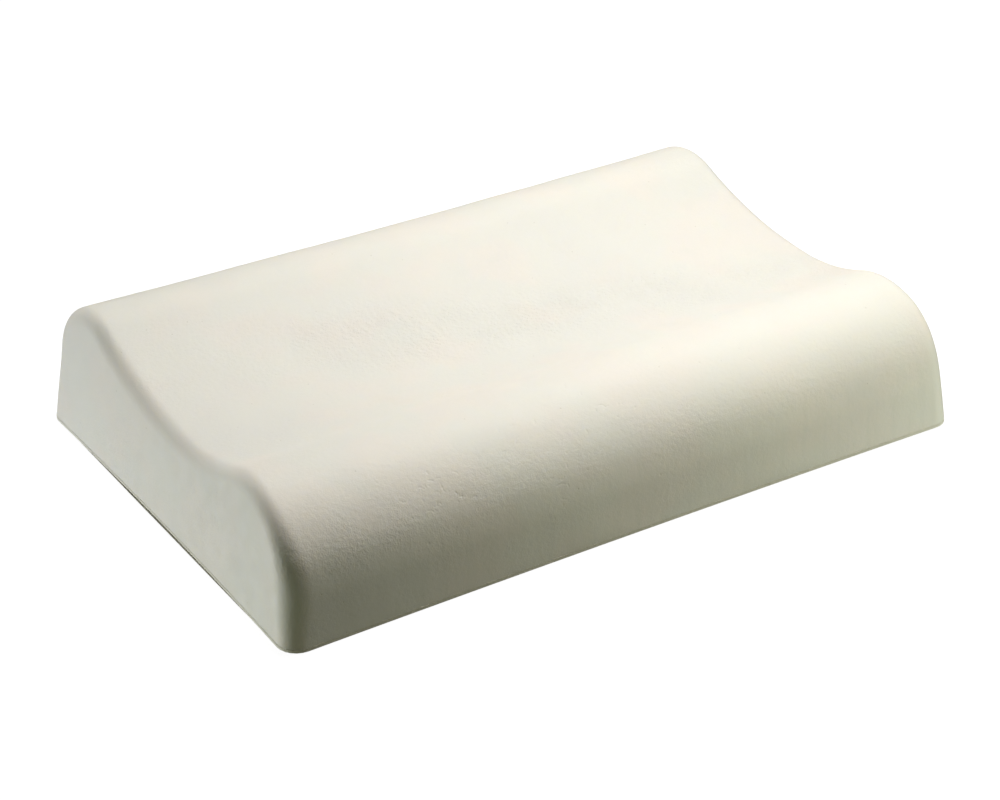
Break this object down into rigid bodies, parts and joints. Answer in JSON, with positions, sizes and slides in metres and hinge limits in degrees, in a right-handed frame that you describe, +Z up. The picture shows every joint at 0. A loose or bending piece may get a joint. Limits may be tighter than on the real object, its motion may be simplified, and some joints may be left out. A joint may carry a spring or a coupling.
{
  "type": "contour pillow",
  "caption": "Bare moulded foam bed pillow, a low and a high neck lobe with a shallow head cradle between them, rolled ends and a flat underside.",
  "frame": {"origin": "centre of the flat underside", "axes": "+X along the pillow, +Y from the low lobe to the high lobe, +Z up through the sleeping surface"},
  "size_m": [0.6006, 0.401, 0.1131],
  "materials": {
    "cut_foam": "open-cell polyurethane foam, cream, dull, fine round cells",
    "cavity_skin": "integral foam skin, ivory, satin-matt, finely pebbled with scattered pinholes",
    "lid_skin": "integral foam skin formed on a flat lid, ivory, matt, flat with small bubbles",
    "trimmed_flash": "trimmed foam flash, slightly darker, rough cut edge"
  },
  "bodies": {
    "root": {"foam_core": "cut_foam", "contoured_skin": "cavity_skin", "base_skin": "lid_skin", "parting_bead": "trimmed_flash"}
  },
  "joints": []
}
